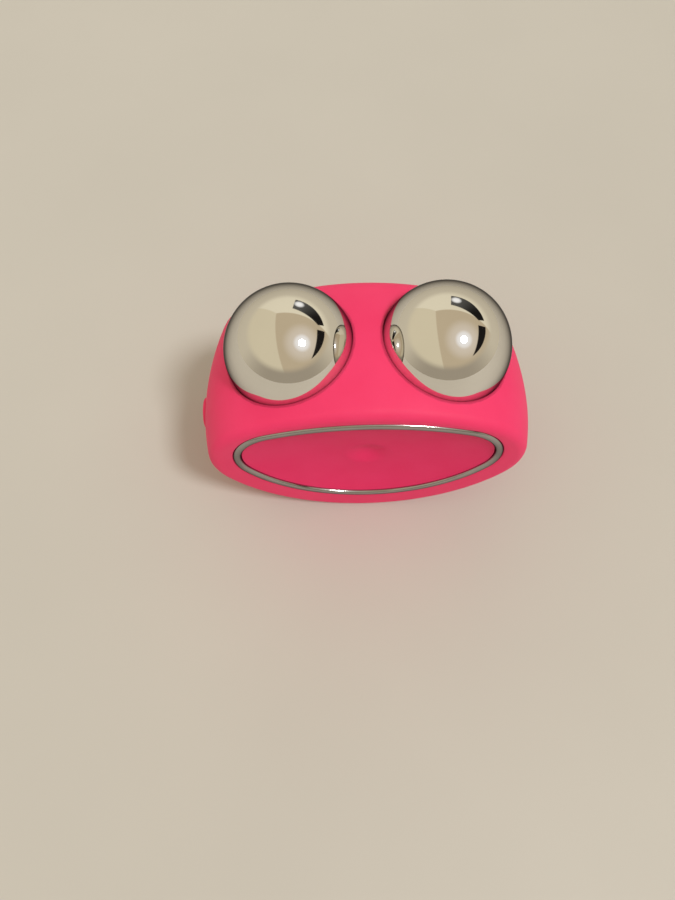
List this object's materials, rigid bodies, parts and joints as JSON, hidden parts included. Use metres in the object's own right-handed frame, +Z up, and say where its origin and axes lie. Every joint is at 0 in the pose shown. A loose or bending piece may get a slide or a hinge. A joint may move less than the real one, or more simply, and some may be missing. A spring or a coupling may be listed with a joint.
{
  "type": "facial toning device",
  "caption": "Palm-sized facial toning device: round silicone body with a flat foot, mirror-bright balls on top, dished faces in bright rims, a push button and a charging socket.",
  "frame": {"origin": "on the supporting surface, under the middle of the body", "axes": "+X to the right across both balls, +Y from the dished face with the button to the plain rear face, +Z up"},
  "size_m": [0.066, 0.0332, 0.0531],
  "materials": {
    "silicone": "matte, fine silky grain",
    "dish_silicone": "matte, a little deeper in tone",
    "ball_chrome": "mirror plated",
    "trim_chrome": "bright plated",
    "casing": "moulded",
    "steel": "bright zinc plated",
    "brass": "turned",
    "board": "solder-masked laminate",
    "chip": "moulded",
    "ceramic": "fired",
    "lamp": "clear cast",
    "clear": "clear moulded",
    "cell": "foil pouch",
    "foam": "closed cell",
    "boot": "moulded",
    "weight": "sintered",
    "seal": "moulded",
    "insulation": "stranded wire in a soft jacket",
    "socket": "moulded",
    "knob": "moulded"
  },
  "bodies": {
    "device": {"silicone_skin": "silicone", "front_dish": "dish_silicone", "rear_dish": "dish_silicone", "front_trim_ring": "trim_chrome", "rear_trim_ring": "trim_chrome", "left_ball": "ball_chrome", "right_ball": "ball_chrome", "left_ball_insert": "brass", "right_ball_insert": "brass", "left_ball_screw": "steel", "right_ball_screw": "steel", "left_ball_seal": "seal", "right_ball_seal": "seal", "left_terminal_tag": "brass", "right_terminal_tag": "brass", "left_electrode_lead": "insulation", "right_electrode_lead": "insulation", "ball_bridge": "casing", "front_casing": "casing", "rear_casing": "casing", "casing_screws": "steel", "main_board": "board", "board_screws": "steel", "tact_switch": "chip", "status_leds": "lamp", "light_guide": "clear", "controller_chip": "chip", "boost_inductor": "chip", "storage_capacitor": "ceramic", "battery_cell": "cell", "battery_foam": "foam", "battery_leads": "insulation", "motor_can": "steel", "motor_bush": "brass", "motor_boot": "boot", "motor_leads": "insulation", "charging_socket": "socket", "socket_grommet": "silicone", "socket_leads": "insulation"},
    "button": {"button_cap": "dish_silicone", "button_plunger": "knob", "switch_stem": "knob"},
    "motor_rotor": {"motor_shaft": "steel", "eccentric_weight": "weight"}
  },
  "joints": [
    {"name": "button_press", "type": "slide", "parent": "device", "child": "button", "axis": [0, 1, 0], "range_m": [0, 0.0005], "stiffness_N_per_m": 1500},
    {"name": "motor_spin", "type": "hinge", "parent": "device", "child": "motor_rotor", "pos_m": [0.008, 0.00655, 0.014], "axis": [1, 0, 0], "continuous": true}
  ]
}
